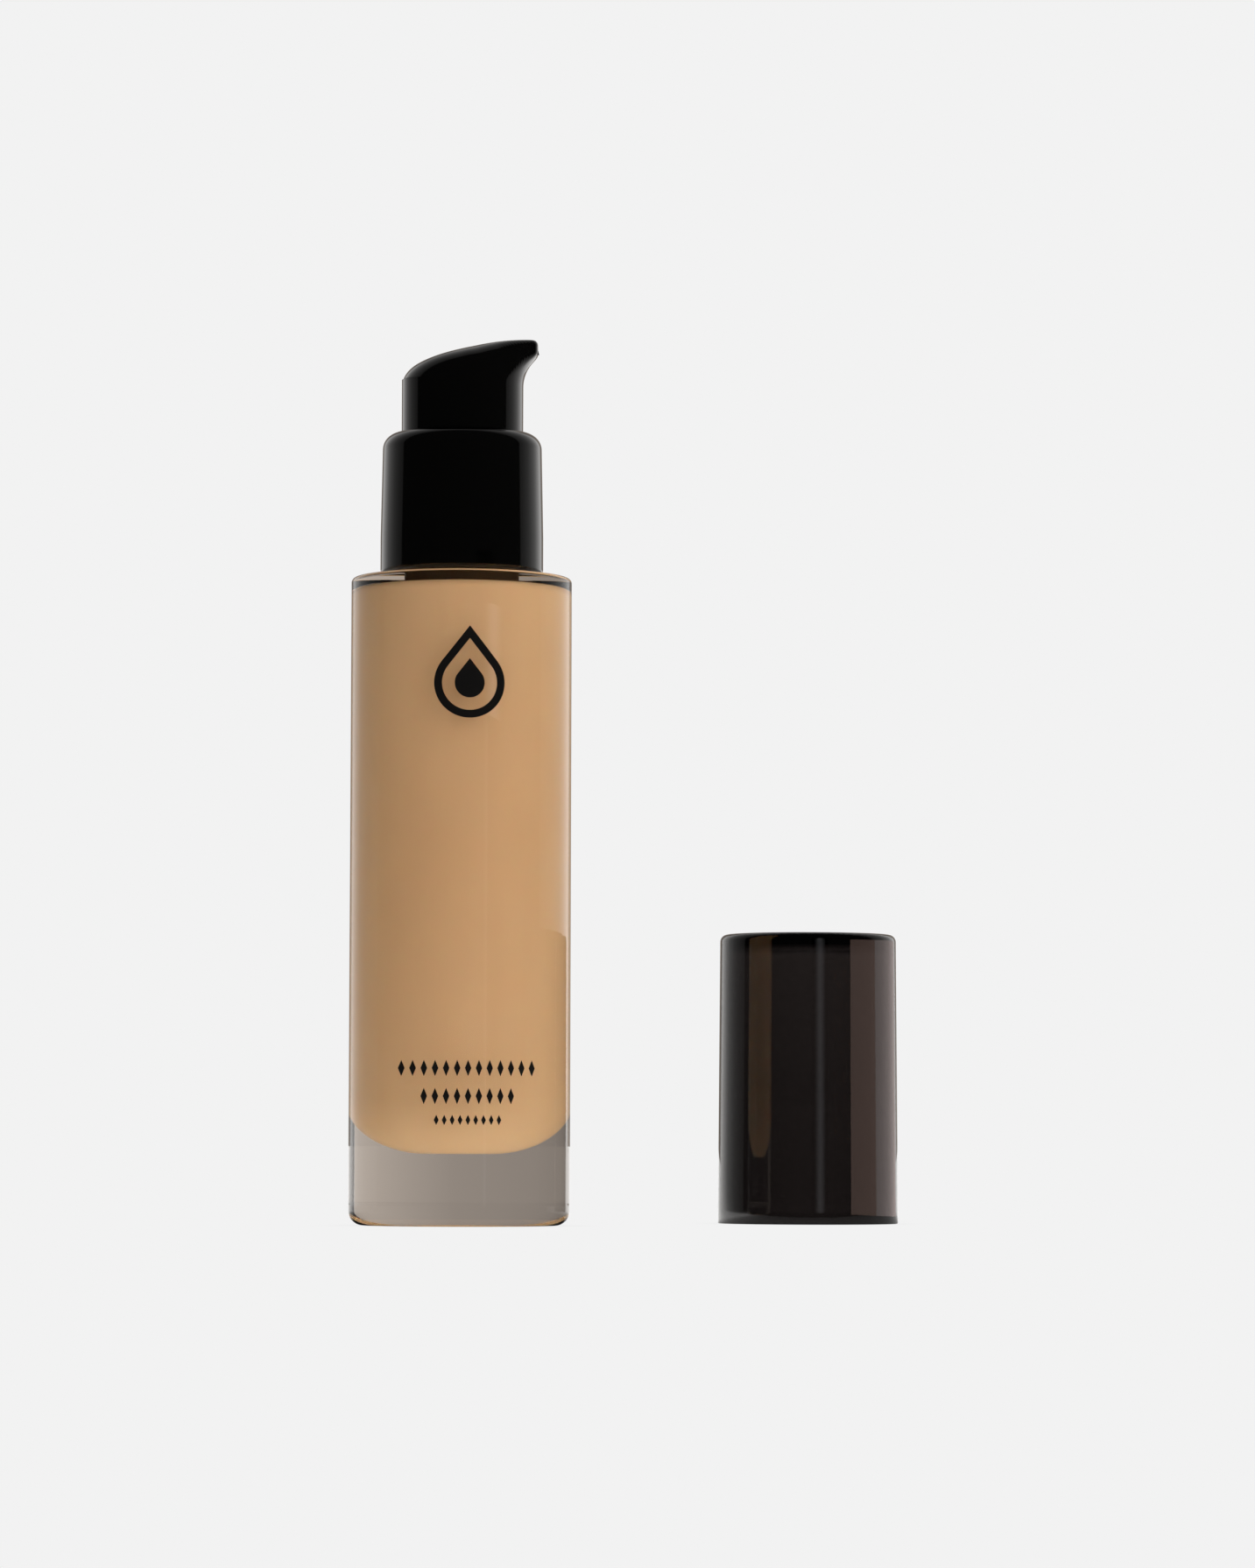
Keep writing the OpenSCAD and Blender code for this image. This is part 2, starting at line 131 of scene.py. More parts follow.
def revolve(profile):
    """A closed surface of revolution through (radius, height) points."""
    bm = bmesh.new()
    rings = []
    for r, z in profile:
        if r < 1e-9:
            rings.append([bm.verts.new((0, 0, z))])
            continue
        rings.append([bm.verts.new(around(r, 2 * math.pi * i / ROUND, z)) for i in range(ROUND)])
    pairs = list(zip(rings, rings[1:]))
    if len(rings[0]) > 1 and len(rings[-1]) > 1:
        pairs.append((rings[-1], rings[0]))
    for low, high in pairs:
        for i in range(ROUND):
            j = (i + 1) % ROUND
            corners = [low[i % len(low)], low[j % len(low)], high[j % len(high)], high[i % len(high)]]
            corners = list(dict.fromkeys(corners))
            if len(corners) > 2:
                bm.faces.new(corners)
    return bm


def swept(rings):
    """A closed tube through rings of points, all with the same number of points."""
    bm = bmesh.new()
    rings = [[bm.verts.new(point) for point in ring] for ring in rings]
    for a, b in zip(rings, rings[1:]):
        for k in range(len(a)):
            n = (k + 1) % len(a)
            bm.faces.new((a[k], b[k], b[n], a[n]))
    bm.faces.new(rings[0])
    bm.faces.new(rings[-1])
    return bm


# ---------------------------------------------------------------- materials

def new_material(name):
    """A new material, its node tree and its shader."""
    material = bpy.data.materials.new(name)
    material.use_nodes = True
    tree = material.node_tree
    return material, tree, tree.nodes["Principled BSDF"]


def noise_node(tree, scale, detail=3.0, stretch=(1, 1, 1)):
    """Noise in object coordinates, whose scale is in turns per metre."""
    place = tree.nodes.new("ShaderNodeTexCoord")
    mapping = tree.nodes.new("ShaderNodeMapping")
    mapping.inputs["Scale"].default_value = stretch
    texture = tree.nodes.new("ShaderNodeTexNoise")
    texture.inputs["Scale"].default_value = scale
    texture.inputs["Detail"].default_value = detail
    tree.links.new(place.outputs["Object"], mapping.inputs["Vector"])
    tree.links.new(mapping.outputs["Vector"], texture.inputs["Vector"])
    return texture.outputs["Fac"]


def ranged(tree, value, low, high):
    """Maps a 0..1 value to low..high."""
    node = tree.nodes.new("ShaderNodeMapRange")
    node.inputs["To Min"].default_value = low
    node.inputs["To Max"].default_value = high
    tree.links.new(value, node.inputs["Value"])
    return node.outputs["Result"]


def bump(tree, shader, height, distance, strength=1.0):
    """Roughens a shader's surface by a 0..1 height times a distance."""
    node = tree.nodes.new("ShaderNodeBump")
    node.inputs["Distance"].default_value = distance
    node.inputs["Strength"].default_value = strength
    tree.links.new(height, node.inputs["Height"])
    tree.links.new(node.outputs["Normal"], shader.inputs["Normal"])


def glass_material():
    """Clear flint glass, with a little absorption that shows in the thick base."""
    material, tree, shader = new_material("clear_glass")
    shader.inputs["Base Color"].default_value = (0.985, 0.982, 0.975, 1)
    shader.inputs["Roughness"].default_value = 0.0
    shader.inputs["IOR"].default_value = 1.52
    shader.inputs["Transmission Weight"].default_value = 1.0
    absorb = tree.nodes.new("ShaderNodeVolumeAbsorption")
    absorb.inputs["Color"].default_value = (0.90, 0.88, 0.84, 1)
    absorb.inputs["Density"].default_value = 10.0
    tree.links.new(absorb.outputs["Volume"], tree.nodes["Material Output"].inputs["Volume"])
    return material


def foundation_material(name, dark, light):
    """Creamy opaque liquid: fine pigment grain and slow swirls of tone."""
    material, tree, shader = new_material(name)
    tone = tree.nodes.new("ShaderNodeValToRGB")
    tone.color_ramp.elements[0].position = 0.3
    tone.color_ramp.elements[0].color = (*dark, 1)
    tone.color_ramp.elements[1].position = 0.7
    tone.color_ramp.elements[1].color = (*light, 1)
    tree.links.new(noise_node(tree, 70.0, 4.0, (1, 1, 0.35)), tone.inputs["Fac"])
    tree.links.new(tone.outputs["Color"], shader.inputs["Base Color"])
    shader.inputs["IOR"].default_value = 1.08
    tree.links.new(ranged(tree, noise_node(tree, 900.0), 0.10, 0.22), shader.inputs["Roughness"])
    shader.inputs["Subsurface Weight"].default_value = 0.25
    shader.inputs["Subsurface Radius"].default_value = (1.0, 0.5, 0.25)
    shader.inputs["Subsurface Scale"].default_value = 0.8 * MM
    return material


def ink_material():
    """Screen-printed black ink: slightly uneven gloss over a fine mesh grain."""
    material, tree, shader = new_material("black_ink")
    shader.inputs["Base Color"].default_value = (0.006, 0.005, 0.005, 1)
    grain = noise_node(tree, 6000.0, 2.0)
    tree.links.new(ranged(tree, grain, 0.28, 0.42), shader.inputs["Roughness"])
    bump(tree, shader, grain, 0.004 * MM)
    return material


def gloss_black_material():
    """High-gloss black plastic: polished, with the faintest waviness from its mould."""
    material, tree, shader = new_material("gloss_black_plastic")
    shader.inputs["Base Color"].default_value = (0.0012, 0.0012, 0.0012, 1)
    shader.inputs["IOR"].default_value = 1.49
    tree.links.new(ranged(tree, noise_node(tree, 260.0, 4.0), 0.035, 0.07), shader.inputs["Roughness"])
    bump(tree, shader, noise_node(tree, 120.0, 2.0), 0.004 * MM, 0.6)
    return material


def smoky_material():
    """Smoky brown-black translucent plastic."""
    material, tree, shader = new_material("smoky_plastic")
    shader.inputs["Base Color"].default_value = (1, 1, 1, 1)
    shader.inputs["IOR"].default_value = 1.53
    shader.inputs["Transmission Weight"].default_value = 1.0
    tree.links.new(ranged(tree, noise_node(tree, 300.0, 3.0), 0.0, 0.03), shader.inputs["Roughness"])
    absorb = tree.nodes.new("ShaderNodeVolumeAbsorption")
    absorb.inputs["Color"].default_value = (0.085, 0.058, 0.077, 1)
    absorb.inputs["Density"].default_value = 1300.0
    tree.links.new(absorb.outputs["Volume"], tree.nodes["Material Output"].inputs["Volume"])
    return material


def plastic_material(name, colour, low, high, subsurface=0.0):
    """Moulded plastic with uneven gloss and a fine surface grain."""
    material, tree, shader = new_material(name)
    shader.inputs["Base Color"].default_value = (*colour, 1)
    grain = noise_node(tree, 2500.0, 3.0)
    tree.links.new(ranged(tree, grain, low, high), shader.inputs["Roughness"])
    bump(tree, shader, grain, 0.01 * MM, 0.5)
    shader.inputs["Subsurface Weight"].default_value = subsurface
    shader.inputs["Subsurface Scale"].default_value = 0.6 * MM
    return material


def steel_material():
    """Drawn steel wire and polished balls: bright, with fine drawing marks."""
    material, tree, shader = new_material("steel")
    shader.inputs["Base Color"].default_value = (0.62, 0.62, 0.63, 1)
    shader.inputs["Metallic"].default_value = 1.0
    brushed = noise_node(tree, 3000.0, 3.0, (1, 1, 6))
    tree.links.new(ranged(tree, brushed, 0.12, 0.3), shader.inputs["Roughness"])
    return material


GLASS = glass_material()
FOUNDATION = foundation_material("foundation", (0.640, 0.385, 0.192), (0.690, 0.430, 0.220))
# Painted shade: a darker copy of the foundation, standing in for the shade that the collar throws over
# the shoulder
FILM_PAINTED_SHADE = foundation_material("foundation_film_painted_shade", (0.10, 0.052, 0.022), (0.14, 0.074, 0.032))
INK = ink_material()
GLOSS_BLACK = gloss_black_material()
SATIN_BLACK = plastic_material("satin_black_plastic", (0.012, 0.012, 0.012), 0.32, 0.5)
SMOKY = smoky_material()
NATURAL = plastic_material("natural_plastic", (0.80, 0.82, 0.82), 0.3, 0.5, 0.4)
WHITE = plastic_material("white_plastic", (0.88, 0.88, 0.87), 0.25, 0.45, 0.2)
FOAM = plastic_material("gasket_foam", (0.85, 0.85, 0.82), 0.75, 0.95, 0.2)
STEEL = steel_material()

CAD_LOOKS = {
    "printed_emblem": INK, "printed_lines": INK, "bottle_gasket": FOAM, "pump_housing": NATURAL,
    "housing_cap": WHITE, "dip_tube": NATURAL, "valve_cage": NATURAL, "inlet_ball": STEEL,
    "piston_rod": NATURAL, "piston_seal": NATURAL, "stem": WHITE, "outlet_ball": STEEL,
    "threaded_closure": SATIN_BLACK, "actuator_core": SATIN_BLACK, "nozzle_insert": SATIN_BLACK,
}
for name, material in CAD_LOOKS.items():
    nodes[name].data.materials.clear()
    nodes[name].data.materials.append(material)


# ---------------------------------------------------------------- bottle

def cavity_wall(grow=0.0):
    """Profile of the liquid space from the axis at its floor up its wall, grown outwards a little."""
    r, low = CAVITY_R + grow, CAVITY_FLOOR - grow
    return (
        line((0, low), (r - CAVITY_FLOOR_R, low), 6)
        + arc(r - CAVITY_FLOOR_R, low + CAVITY_FLOOR_R, CAVITY_FLOOR_R, 270, 360, 40)[1:]
        + line((r, low + CAVITY_FLOOR_R), (r, CAVITY_TOP - CAVITY_TOP_R), 60)[1:]
    )


def make_glass():
    """The glass: push-up under the base, a faint seam, rounded edges and the neck with its bore."""
    base_edge, shoulder_edge, shoulder_drop = 2.2 * MM, 0.7 * MM, 0.3 * MM
    rim_z = SHOULDER - shoulder_drop
    push_r, push_h, push_steps = 9.8 * MM, 0.9 * MM, 16
    seam_z, seam_h, seam_half = 3.0 * MM, 0.012 * MM, 0.12 * MM
    foot_r, lip_r, mouth_r = 0.9 * MM, 0.5 * MM, 0.4 * MM
    dome_r = (push_r**2 + push_h**2) / (2 * push_h)
    across = [push_r * i / push_steps for i in range(push_steps + 1)]
    dome = [(r, push_h - dome_r + math.sqrt(dome_r**2 - r**2)) for r in across]
    outside = (
        dome
        + [(push_r + 0.25 * MM, 0), (GLASS_R - base_edge, 0)]
        + arc(GLASS_R - base_edge, base_edge, base_edge, 270, 360, 24)[1:]
        + [(GLASS_R, seam_z - seam_half), (GLASS_R + seam_h, seam_z), (GLASS_R, seam_z + seam_half)]
        + line((GLASS_R, seam_z + 0.5 * MM), (GLASS_R, rim_z - shoulder_edge), 40)
        + arc(GLASS_R - shoulder_edge, rim_z - shoulder_edge, shoulder_edge, 0, 90, 20)[1:]
        + [(NECK_R + foot_r, SHOULDER)]
        + arc(NECK_R + foot_r, SHOULDER + foot_r, foot_r, 270, 180, 8)[1:]
        + arc(NECK_R - lip_r, NECK_TOP - lip_r, lip_r, 0, 90, 6)
        + arc(BORE_R + mouth_r, NECK_TOP - mouth_r, mouth_r, 90, 180, 6)
    )
    inside = (
        cavity_wall()
        + arc(*CAVITY_CORNER, CAVITY_TOP_R, 0, 90, 12)[1:]
        + [(BORE_R + BORE_BEVEL, CAVITY_TOP), (BORE_R, CAVITY_TOP + BORE_BEVEL)]
    )
    bm = revolve(outside + inside[::-1])
    return finish_mesh("glass_shell", bm, "bottle", GLASS, ["glass_bottle"], 35)


def pump_room():
    """Profile of the liquid's surface round the pump and its dip tube, from its top down to the axis."""
    room, cone_h = 0.2 * MM, 3.5 * MM
    housing_r, tail_r, tube_r = 4.8 * MM + room, 2.6 * MM + room, 1.6 * MM + room
    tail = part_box("pump_housing")[0].z
    cone, foot = tail + 6.5 * MM - room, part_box("dip_tube")[0].z - room
    return [(housing_r, cone + cone_h), (tail_r, cone), (tail_r, tail - room), (tube_r, tail - room),
            (tube_r, foot), (0, foot)]


def make_liquid():
    """The liquid reaches a hair into the glass, so that it wets it; its top climbs at the wall.

    Returns how far round the space's top corner it climbs, in degrees.
    """
    into_glass, curl = 0.04 * MM, 0.45 * MM
    level = LIQUID_HIGH.z
    corner_r, corner_z = CAVITY_CORNER
    rise = math.degrees(math.asin((level + curl - corner_z) / CAVITY_TOP_R))
    shoulder = arc(corner_r + into_glass, corner_z, CAVITY_TOP_R, 0, rise, 8)
    edge = shoulder[-1][0]
    curled = [(edge - 0.2 * MM, level + 0.15 * MM), (edge - 0.6 * MM, level)]
    room = pump_room()
    bm = revolve(cavity_wall(into_glass) + shoulder[1:] + curled + [(room[0][0], level)] + room)
    finish_mesh("foundation_fill", bm, "bottle", FOUNDATION, ["foundation_liquid"], 50)
    return rise


def make_film_painted_shade(rise):
    """A thin film of foundation on the glass above the liquid, up its corner, ceiling and bore; its dark
    colour is painted shade, standing in for the collar's shade over the shoulder.
    """
    start, top = rise + 3, SHOULDER + 0.8 * MM

    def face(grow):
        """One side of the film: the glass's inner face, grown into the glass or away from it."""
        bore_r, ceiling = BORE_R + grow, CAVITY_TOP + grow
        bevel = [(bore_r + BORE_BEVEL, ceiling), (bore_r, ceiling + BORE_BEVEL)]
        return arc(*CAVITY_CORNER, CAVITY_TOP_R + grow, start, 90, 12) + bevel + [(bore_r, top)]

    bm = revolve(face(0.03 * MM) + face(-0.05 * MM)[::-1])
    return finish_mesh("foundation_film_painted_shade", bm, "bottle", FILM_PAINTED_SHADE, ["foundation_liquid"], 50)


def make_thread():
    """The screw thread on the neck: one helical ridge with tapering ends."""
    pitch, turns, start, steps = 3.175 * MM, 1.15, SHOULDER + 4 * MM, 160
    embed, height, root, crest = 0.3 * MM, 0.95 * MM, 1.9 * MM, 0.8 * MM
    flank, taper_steps = root / 2 - 0.35 * MM, 24
    rings = []
    for i in range(steps + 1):
        t = 2 * math.pi * turns * i / steps
        z = start + pitch * turns * i / steps
        out = height * min(1, (min(i, steps - i) + 0.8) / taper_steps)
        half = [(-embed, root / 2), (0.55 * out, flank), (out, crest / 2 - 0.1 * MM)]
        outline = [(r, -dz) for r, dz in half] + half[::-1]
        rings.append([around(NECK_R + r, t, z + dz) for r, dz in outline])
    return finish_mesh("neck_thread", swept(rings), "bottle", GLASS, ["glass_bottle"], 50)


def make_spring():
    """The return spring, with closed end coils."""
    low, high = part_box("return_spring")
    wire_r, coil_r, turns, closed, steps, sides = 0.27 * MM, 3.2 * MM, 7, 0.8, 48, 10
    length, stroke = high.z - low.z, 4.6 * MM
    wire_d = 2 * wire_r
    rise, end = length - wire_d, wire_d * closed

    def height(turn):
        """Height of the wire's centre above the lowest one, after so many turns."""
        if turn < closed:
            return wire_d * turn
        if turn > turns - closed:
            return rise - wire_d * (turns - turn)
        return end + (rise - 2 * end) * (turn - closed) / (turns - 2 * closed)

    wire = arc(coil_r, low.z + wire_r, wire_r, 0, 360, sides)[:-1]
    rings = []
    for i in range(turns * steps + 1):
        lift = height(i / steps)
        rings.append([around(r, 2 * math.pi * i / steps, z + lift) for r, z in wire])
    spring = finish_mesh("coil_spring", swept(rings), "pump", STEEL, ["return_spring"], 50)
    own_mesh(spring)
    return spring


shell = make_glass()
make_spring()
make_thread()
make_film_painted_shade(make_liquid())


# ---------------------------------------------------------------- collar, actuator, overcap

def make_collar():
    """The glossy collar: a hair narrower at its top, with a soft edge and a round mouth for the head."""
    edge, lip, mouth_edge, draft = 2.4 * MM, 0.8 * MM, 0.15 * MM, 0.27 * MM
    top_r, mouth = COLLAR_R - draft, HEAD_R + 0.28 * MM
    low, high = COLLAR_LOW.z, COLLAR_HIGH.z
    straight_top = low + 5.5 * MM
    outside = (
        arc(COLLAR_R - lip, low + lip, lip, 270, 360, 6)
        + line((COLLAR_R, straight_top), (top_r, high - edge), 8)
        + arc(top_r - edge, high - edge, edge, 0, 90, 28)[1:]
        + arc(mouth + mouth_edge, high - mouth_edge, mouth_edge, 90, 180, 5)
    )
    shelf, ring_top = high - edge - 0.3 * MM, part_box("threaded_closure")[1].z
    inner_r = COLLAR_R - 1.2 * MM
    upper_r = inner_r - 0.5 * MM
    inside = [(mouth, shelf), (upper_r, shelf), (upper_r, ring_top), (inner_r, ring_top), (inner_r, low)]
    bm = revolve(outside + inside)
    return finish_mesh("collar_shell", bm, "closure", GLOSS_BLACK, ["collar_shroud"], 35)


def smooth_min(a, b, width):
    """The smaller of two values, rounded over where they meet. A width of 0 leaves it sharp."""
    near = max(width - abs(a - b), 0) / width if width > 0 else 0
    return min(a, b) - near * near * width / 4


def beak_reach(t, circles):
    """Distance from the axis at angle t to the rounded outline that wraps (x, y, radius) circles."""
    best = math.inf
    for off in range(-80, 81):
        way = t + math.radians(off)
        support = max(x * math.cos(way) + y * math.sin(way) + r for x, y, r in circles)
        best = min(best, support / math.cos(way - t))
    return best


def cut_hole(piece, start, way, r, depth):
    """Drills a round hole into a piece and keeps the result as its mesh."""
    bm = bmesh.new()
    turn = way.to_track_quat("Z", "Y").to_matrix().to_4x4()
    spot = Matrix.Translation(start - way * depth / 2) @ turn
    bmesh.ops.create_cone(bm, cap_ends=True, segments=48, radius1=r, radius2=r, depth=depth, matrix=spot)
    mesh = bpy.data.meshes.new("drill")
    bm.to_mesh(mesh)
    bm.free()
    drill = bpy.data.objects.new("drill", mesh)
    bpy.context.scene.collection.objects.link(drill)
    cut = piece.modifiers.new("hole", "BOOLEAN")
    cut.operation, cut.object, cut.solver = "DIFFERENCE", drill, "EXACT"
    solid = bpy.data.meshes.new_from_object(piece.evaluated_get(bpy.context.evaluated_depsgraph_get()))
    piece.modifiers.remove(cut)
    piece.data = solid
    bpy.data.objects.remove(drill)


def make_head():
    """The press head: a cylinder that flares into a beak under a sloping, softly rounded crown.

    Each of its columns runs up the side, round the crown's edge and in towards the peak on the axis.
    """
    steps, levels, round_steps, top_steps = 480, 60, 16, 20
    crown_r, crown_x = 60 * MM, HEAD_HIGH.x + 3 * MM
    crown_z = HEAD_HIGH.z - math.sqrt(crown_r**2 - (crown_x - HEAD_HIGH.x) ** 2)
    nose_r, nose_y = 1.2 * MM, 1.56 * MM
    nose_x = HEAD_HIGH.x - nose_r
    flare_r, flare_z, blend = 5.9 * MM, HEAD_HIGH.z - 7 * MM, 0.7 * MM
    edge_back, edge_side, edge_tip = 2.2 * MM, 5.2 * MM, 0.65 * MM
    tip_spread, back_power = math.radians(75), 1.6
    circles = [(0, 0, HEAD_R), (nose_x, nose_y, nose_r), (nose_x, -nose_y, nose_r)]
    low = HEAD_LOW.z
    turns = [2 * math.pi * i / steps for i in range(steps)]

    def crown(x):
        """Height of the crown, an arc that rises towards the beak."""
        return crown_z + math.sqrt(crown_r**2 - (x - crown_x) ** 2)

    def side(reach, z):
        """Radius of the side at height z, where the beak grows out to its reach."""
        rise = min(max(z - flare_z, 0), flare_r * 0.999)
        grown = HEAD_R + flare_r - math.sqrt(flare_r**2 - rise**2)
        return smooth_min(reach, grown, min(blend, 0.6 * (reach - HEAD_R)))

    def crown_edge(t):
        """Radius of the crown's edge at angle t: tight at the beak's tip, widest at the sides."""
        off_tip = min(1.0, abs((t + math.pi) % (2 * math.pi) - math.pi) / tip_spread)
        wide = edge_side + (edge_back - edge_side) * max(0.0, -math.cos(t)) ** back_power
        return edge_tip + (wide - edge_tip) * (3 - 2 * off_tip) * off_tip**2

    bm = bmesh.new()
    columns = []
    for t in turns:
        reach, edge = beak_reach(t, circles), crown_edge(t)
        rim = crown((reach - edge) * math.cos(t)) - edge
        heights = [low + (rim - low) * k / levels for k in range(levels + 1)]
        column = [(side(reach, z), z) for z in heights]
        top_r = column[-1][0]
        for k in range(1, round_steps + 1):
            turn = math.pi / 2 * k / round_steps
            r = top_r - edge * (1 - math.cos(turn))
            column.append((r, crown(r * math.cos(t)) - edge * (1 - math.sin(turn))))
        for k in range(1, top_steps):
            r = (top_r - edge) * (1 - k / top_steps)
            column.append((r, crown(r * math.cos(t))))
        columns.append([bm.verts.new(around(r, t, z)) for r, z in column])
    peak = bm.verts.new((0, 0, crown(0)))
    bore_r, ceiling = 7.7 * MM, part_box("actuator_core")[1].z
    rings = [[bm.verts.new(around(bore_r, t, z)) for t in turns] for z in (low, ceiling)]
    middle = bm.verts.new((0, 0, ceiling))
    for i in range(steps):
        j = (i + 1) % steps
        a, b = columns[i], columns[j]
        for k in range(len(a) - 1):
            bm.faces.new((a[k], b[k], b[k + 1], a[k + 1]))
        bm.faces.new((a[-1], b[-1], peak))
        bm.faces.new((b[0], a[0], rings[0][i], rings[0][j]))
        bm.faces.new((rings[0][j], rings[0][i], rings[1][i], rings[1][j]))
        bm.faces.new((rings[1][j], rings[1][i], middle))
    head = finish_mesh("press_head", bm, "actuator", GLOSS_BLACK, ["actuator_head"], 50)
    tilt, hole_r, hole_depth, past = math.radians(15), 0.76 * MM, 3.8 * MM, 0.5 * MM
    way = Vector((math.cos(tilt), 0, math.sin(tilt)))
    mouth = Vector((HEAD_HIGH.x, 0, HEAD_HIGH.z - 1.35 * MM))
    cut_hole(head, mouth + way * past, way, hole_r, hole_depth)
    return head


def make_overcap():
    """The overcap: a thin cup that stands on its open rim, a hair narrower at its closed end."""
    height, bore_r = CAP_HIGH.z, 12.3 * MM
    top_r, edge = CAP_R - 0.31 * MM, 1.1 * MM
    ceiling = height - 1.8 * MM
    inner_edge, rim, lead_in = 1.0 * MM, 0.2 * MM, 0.3 * MM
    profile = (
        [(0, ceiling)]
        + line((2 * MM, ceiling), (bore_r - inner_edge, ceiling), 6)
        + arc(bore_r - inner_edge, ceiling - inner_edge, inner_edge, 90, 0, 10)[1:]
        + line((bore_r, ceiling - 2 * MM), (bore_r, lead_in), 24)
        + [(bore_r + lead_in, 0)]
        + arc(CAP_R - rim, rim, rim, 270, 360, 5)
        + line((CAP_R, rim), (top_r, height - edge), 24)[1:]
        + arc(top_r - edge, height - edge, edge, 0, 90, 16)[1:]
        + [(top_r * 0.6, height), (top_r * 0.3, height), (0, height)]
    )
    bm = revolve(profile)
    return finish_mesh("smoky_overcap", bm, "overcap", SMOKY, ["overcap"], 35, CAP_AXIS)


make_collar()
make_head()
overcap = make_overcap()


# ---------------------------------------------------------------- studio

def math_node(tree, operation, a, b=0.0):
    """A sum on one or two values; each may be a constant or a socket."""
    node = tree.nodes.new("ShaderNodeMath")
    node.operation = operation
    for socket, value in zip(node.inputs, (a, b)):
        if isinstance(value, (int, float)):
            socket.default_value = value
        else:
            tree.links.new(value, socket)
    return node.outputs["Value"]


def faded(tree, value, low, high):
    """1 below low, 0 above high, smooth between."""
    node = tree.nodes.new("ShaderNodeMapRange")
    node.interpolation_type = "SMOOTHSTEP"
    for name, number in (("From Min", low), ("From Max", high), ("To Min", 1), ("To Max", 0)):
        node.inputs[name].default_value = number
    tree.links.new(value, node.inputs["Value"])
    return node.outputs["Result"]


def scaled(tree, colour, factor):
    """A colour, constant or a socket, times a factor from a socket."""
    node = tree.nodes.new("ShaderNodeVectorMath")
    node.operation = "SCALE"
    if isinstance(colour, tuple):
        node.inputs[0].default_value = colour
    else:
        tree.links.new(colour, node.inputs[0])
    tree.links.new(factor, node.inputs["Scale"])
    return node.outputs["Vector"]


def mixed(tree, factor, a, b):
    """Colour a where the factor is 0 and b where it is 1."""
    node = tree.nodes.new("ShaderNodeMix")
    node.data_type = "RGBA"
    tree.links.new(factor, node.inputs["Factor"])
    for name, colour in (("A", a), ("B", b)):
        if isinstance(colour, tuple):
            node.inputs[name].default_value = (*colour, 1)
        else:
            tree.links.new(colour, node.inputs[name])
    return node.outputs["Result"]


def low_glow(tree, x):
    """Colour of the table and of the backdrop straight behind, brighter towards the right."""
    lean = math_node(tree, "MULTIPLY", x, GLOW_SLOPE)
    bend = math_node(tree, "MULTIPLY", math_node(tree, "ABSOLUTE", x), GLOW_BEND)
    return scaled(tree, TABLE_GLOW, math_node(tree, "ADD", math_node(tree, "ADD", lean, bend), 1.0))


def sloped(tree, x, colour, slope):
    """A colour that grows towards the right, or with a slope below 0 towards the left."""
    return scaled(tree, colour, math_node(tree, "ADD", math_node(tree, "MULTIPLY", x, slope), 1.0))


def backdrop_glow(tree, x, y):
    """Colour of the room in a direction that points backwards by y, a little brighter on the right."""
    ramp = tree.nodes.new("ShaderNodeValToRGB")
    stops = ramp.color_ramp.elements
    stops[0].position, stops[1].position = BACKDROP[0][0], BACKDROP[-1][0]
    for where, _ in BACKDROP[1:-1]:
        stops.new(where)
    for element, (where, light) in zip(stops, BACKDROP):
        element.position = where
        element.color = (light, light * 0.985, light * 0.97, 1)
    tree.links.new(y, ramp.inputs["Fac"])
    return sloped(tree, x, ramp.outputs["Color"], BACKDROP_SLOPE)


def is_reflection(tree):
    """1 for what is seen in a polished surface, 0 for what is seen through it."""
    return tree.nodes.new("ShaderNodeLightPath").outputs["Is Reflection Ray"]


def is_matt_ray(tree):
    """1 for light on its way to a matt surface, 0 for what is seen in or through a polished one."""
    rays = tree.nodes.new("ShaderNodeLightPath")
    return math_node(tree, "GREATER_THAN", rays.outputs["Diffuse Depth"], 0.5)


def camera_switch(tree, room, seen, out):
    """Joins what the pieces see and what the camera sees, two shader nodes, into an output node."""
    pick = tree.nodes.new("ShaderNodeMixShader")
    rays = tree.nodes.new("ShaderNodeLightPath")
    tree.links.new(rays.outputs["Is Camera Ray"], pick.inputs["Fac"])
    tree.links.new(room.outputs[0], pick.inputs[1])
    tree.links.new(seen.outputs[0], pick.inputs[2])
    tree.links.new(pick.outputs["Shader"], out.inputs["Surface"])


